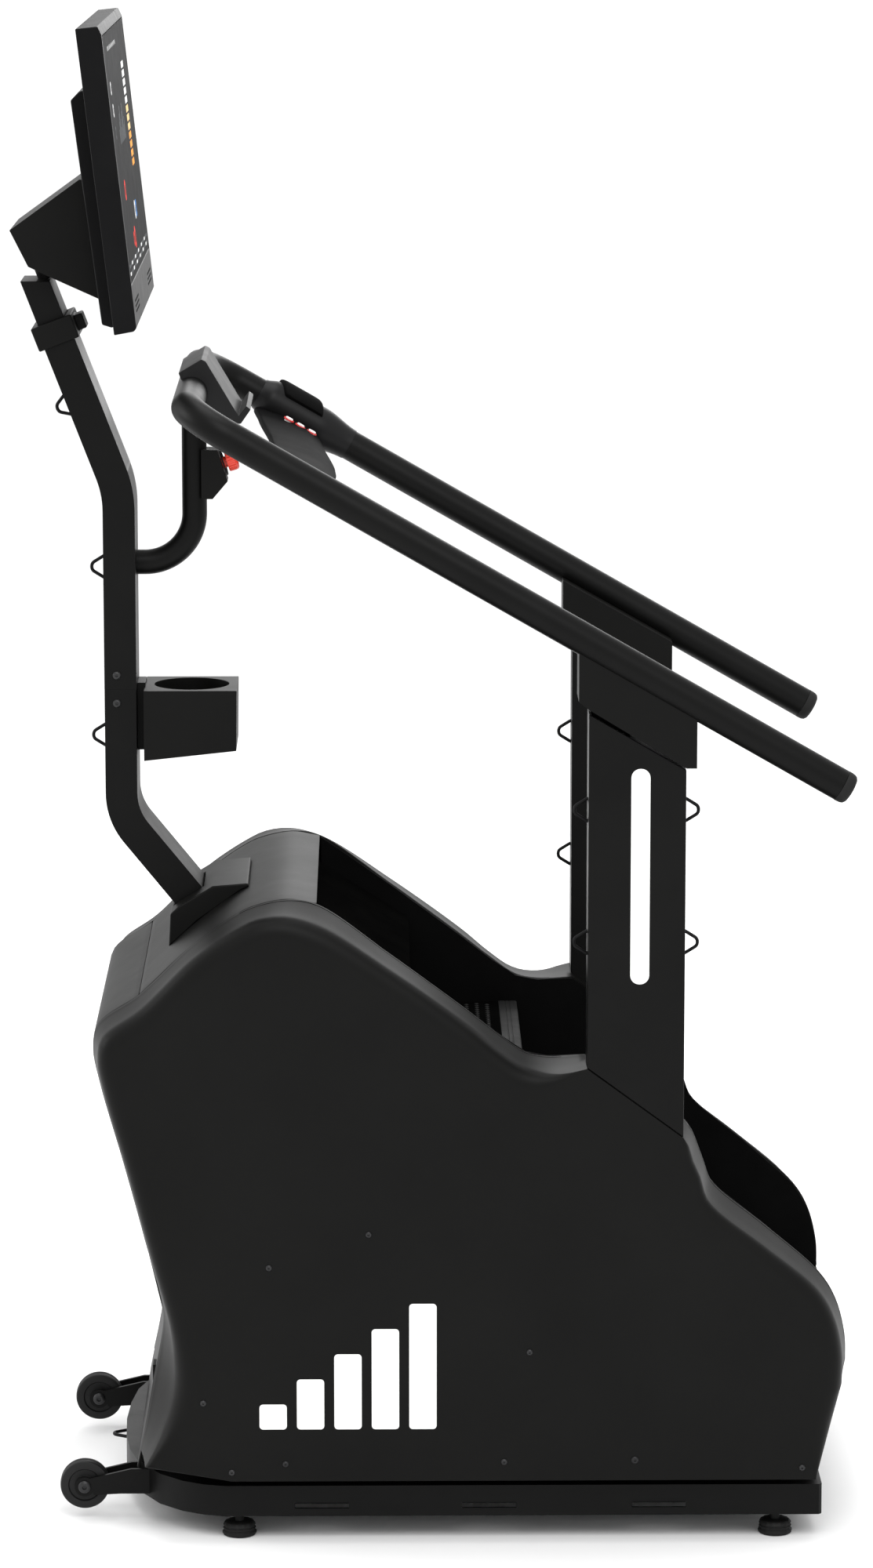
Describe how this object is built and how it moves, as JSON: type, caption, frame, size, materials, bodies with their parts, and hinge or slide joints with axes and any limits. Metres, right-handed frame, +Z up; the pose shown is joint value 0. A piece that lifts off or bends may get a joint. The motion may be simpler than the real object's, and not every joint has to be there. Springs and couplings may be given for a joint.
{
  "type": "stair climber",
  "caption": "Revolving-step stair climber with sloping handrails, leaning mast, tilted display, keypad bridge, cup holder and raised transport wheels.",
  "frame": {"origin": "floor plane, centre of the bounding box in plan", "axes": "+X towards the entrance, where the climber steps on; -X the display end; +Z up; +Y the climber right-hand side"},
  "size_m": [1.162, 0.721, 2.1],
  "materials": {
    "frame_paint": "satin black powder coat",
    "rubber": "matt black rubber",
    "wheel_tread": "moulded black tread",
    "steel": "dark oiled steel",
    "cover_plastic": "fine-grained black moulding",
    "pod_plastic": "semi-gloss dark grey",
    "step_metal": "black ribbed tread",
    "cast_alloy": "dark anodised",
    "display_shell": "glossy black",
    "screen": "lit display glass",
    "red_plastic": "gloss red"
  },
  "bodies": {
    "machine": {"base_frame": "frame_paint", "fasteners": "steel", "frame_side_left": "frame_paint", "frame_side_right": "frame_paint", "side_cover_left": "cover_plastic", "side_cover_right": "cover_plastic", "inner_liner_left": "cover_plastic", "inner_liner_right": "cover_plastic", "top_cover": "cover_plastic", "front_cover": "cover_plastic", "rear_panel": "cover_plastic", "upright_left": "frame_paint", "upright_right": "frame_paint", "rail_bracket_left": "cover_plastic", "rail_bracket_right": "cover_plastic", "handrail": "frame_paint", "rail_end_cap_left": "rubber", "rail_end_cap_right": "rubber", "support_arm": "frame_paint", "device_holder": "pod_plastic", "control_bridge": "pod_plastic", "grip": "rubber", "estop_housing": "cover_plastic", "mast_lower": "frame_paint", "mast_upper": "frame_paint", "mast_head": "cast_alloy", "mast_collar": "cover_plastic", "mast_boot": "cover_plastic", "cup_holder": "cover_plastic", "band_hooks": "steel", "step_chains": "steel", "alternator": "cast_alloy", "drive_belt": "rubber", "power_inlet": "cover_plastic"},
    "display_head": {"neck_cover": "cover_plastic", "display_back_box": "cover_plastic", "display_housing": "display_shell", "display_glass": "screen"},
    "emergency_button": {"estop_button": "red_plastic"},
    "slower_key": {"key_slower": "pod_plastic"},
    "menu_key": {"key_menu": "pod_plastic"},
    "faster_key": {"key_faster": "pod_plastic"},
    "left_wheel": {"transport_wheel_left": "wheel_tread"},
    "right_wheel": {"transport_wheel_right": "wheel_tread"},
    "front_left_foot": {"foot_front_left": "rubber"},
    "front_right_foot": {"foot_front_right": "rubber"},
    "rear_left_foot": {"foot_rear_left": "rubber"},
    "rear_right_foot": {"foot_rear_right": "rubber"},
    "drive_shaft": {"upper_shaft": "steel"},
    "tail_shaft": {"lower_shaft": "steel"},
    "flywheel_rotor": {"flywheel": "steel"},
    "stair_step_1": {"step_1": "step_metal"},
    "stair_step_2": {"step_2": "step_metal"},
    "stair_step_3": {"step_3": "step_metal"},
    "stair_step_4": {"step_4": "step_metal"},
    "stair_step_5": {"step_5": "step_metal"},
    "stair_step_6": {"step_6": "step_metal"},
    "stair_step_7": {"step_7": "step_metal"}
  },
  "joints": [
    {"name": "stair_travel", "type": "slide", "parent": "machine", "child": "stair_step_2", "axis": [0.7615, 0, -0.6482], "range_m": [-0.03, 0.078]},
    {"name": "step_3_travel", "type": "slide", "parent": "machine", "child": "stair_step_3", "axis": [0.7615, 0, -0.6482], "range_m": [-0.0301, 0.0781]},
    {"name": "step_5_return", "type": "slide", "parent": "machine", "child": "stair_step_5", "axis": [-0.7615, 0, 0.6482], "range_m": [-0.0301, 0.0781]},
    {"name": "step_6_return", "type": "slide", "parent": "machine", "child": "stair_step_6", "axis": [-0.7615, 0, 0.6482], "range_m": [-0.0301, 0.0781]},
    {"name": "step_7_return", "type": "slide", "parent": "machine", "child": "stair_step_7", "axis": [-0.7615, 0, 0.6482], "range_m": [-0.0301, 0.0781]},
    {"name": "step_1_turn", "type": "hinge", "parent": "machine", "child": "stair_step_1", "pos_m": [0.37704, 0, 0.20475], "axis": [0, 1, 0], "range_deg": [-21.54, 55.91]},
    {"name": "step_4_turn", "type": "hinge", "parent": "machine", "child": "stair_step_4", "pos_m": [-0.18408, 0, 0.68235], "axis": [0, 1, 0], "range_deg": [-21.54, 55.91]},
    {"name": "drive_shaft_spin", "type": "hinge", "parent": "machine", "child": "drive_shaft", "pos_m": [-0.18408, 0, 0.68235], "axis": [0, 1, 0], "range_deg": [-21.54, 55.91]},
    {"name": "tail_shaft_spin", "type": "hinge", "parent": "machine", "child": "tail_shaft", "pos_m": [0.37704, 0, 0.20475], "axis": [0, 1, 0], "range_deg": [-21.54, 55.91]},
    {"name": "flywheel_spin", "type": "hinge", "parent": "machine", "child": "flywheel_rotor", "pos_m": [-0.225, 0, 0.245], "axis": [0, 1, 0], "range_deg": [-62.72, 162.99]},
    {"name": "display_swivel", "type": "hinge", "parent": "machine", "child": "display_head", "pos_m": [-0.541, 0, 1.748], "axis": [-0.3584, 0, 0.9336], "range_deg": [-15, 15]},
    {"name": "emergency_press", "type": "slide", "parent": "machine", "child": "emergency_button", "axis": [-0.9511, 0, -0.309], "range_m": [0, 0.005], "stiffness_N_per_m": 600, "springref_m": -0.003},
    {"name": "slower_press", "type": "slide", "parent": "machine", "child": "slower_key", "axis": [-0.4985, 0, -0.8669], "range_m": [0, 0.002], "stiffness_N_per_m": 400, "springref_m": -0.001},
    {"name": "menu_press", "type": "slide", "parent": "machine", "child": "menu_key", "axis": [-0.4985, 0, -0.8669], "range_m": [0, 0.002], "stiffness_N_per_m": 400, "springref_m": -0.001},
    {"name": "faster_press", "type": "slide", "parent": "machine", "child": "faster_key", "axis": [-0.4985, 0, -0.8669], "range_m": [0, 0.002], "stiffness_N_per_m": 400, "springref_m": -0.001},
    {"name": "left_wheel_spin", "type": "hinge", "parent": "machine", "child": "left_wheel", "pos_m": [-0.491, -0.214, 0.05], "axis": [0, 1, 0], "continuous": true},
    {"name": "right_wheel_spin", "type": "hinge", "parent": "machine", "child": "right_wheel", "pos_m": [-0.491, 0.214, 0.05], "axis": [0, 1, 0], "continuous": true},
    {"name": "front_left_foot_screw", "type": "slide", "parent": "machine", "child": "front_left_foot", "axis": [0, 0, -1], "range_m": [0, 0.01]},
    {"name": "front_right_foot_screw", "type": "slide", "parent": "machine", "child": "front_right_foot", "axis": [0, 0, -1], "range_m": [0, 0.01]},
    {"name": "rear_left_foot_screw", "type": "slide", "parent": "machine", "child": "rear_left_foot", "axis": [0, 0, -1], "range_m": [0, 0.01]},
    {"name": "rear_right_foot_screw", "type": "slide", "parent": "machine", "child": "rear_right_foot", "axis": [0, 0, -1], "range_m": [0, 0.01]}
  ],
  "couplings": [
    {"joint": "step_3_travel", "follows": "stair_travel", "ratio": 1},
    {"joint": "step_5_return", "follows": "stair_travel", "ratio": 1},
    {"joint": "step_6_return", "follows": "stair_travel", "ratio": 1},
    {"joint": "step_7_return", "follows": "stair_travel", "ratio": 1},
    {"joint": "step_1_turn", "follows": "stair_travel", "rad_per_m": 12.5},
    {"joint": "step_4_turn", "follows": "stair_travel", "rad_per_m": 12.5},
    {"joint": "drive_shaft_spin", "follows": "stair_travel", "rad_per_m": 12.5},
    {"joint": "tail_shaft_spin", "follows": "stair_travel", "rad_per_m": 12.5},
    {"joint": "flywheel_spin", "follows": "stair_travel", "rad_per_m": 36.458}
  ]
}
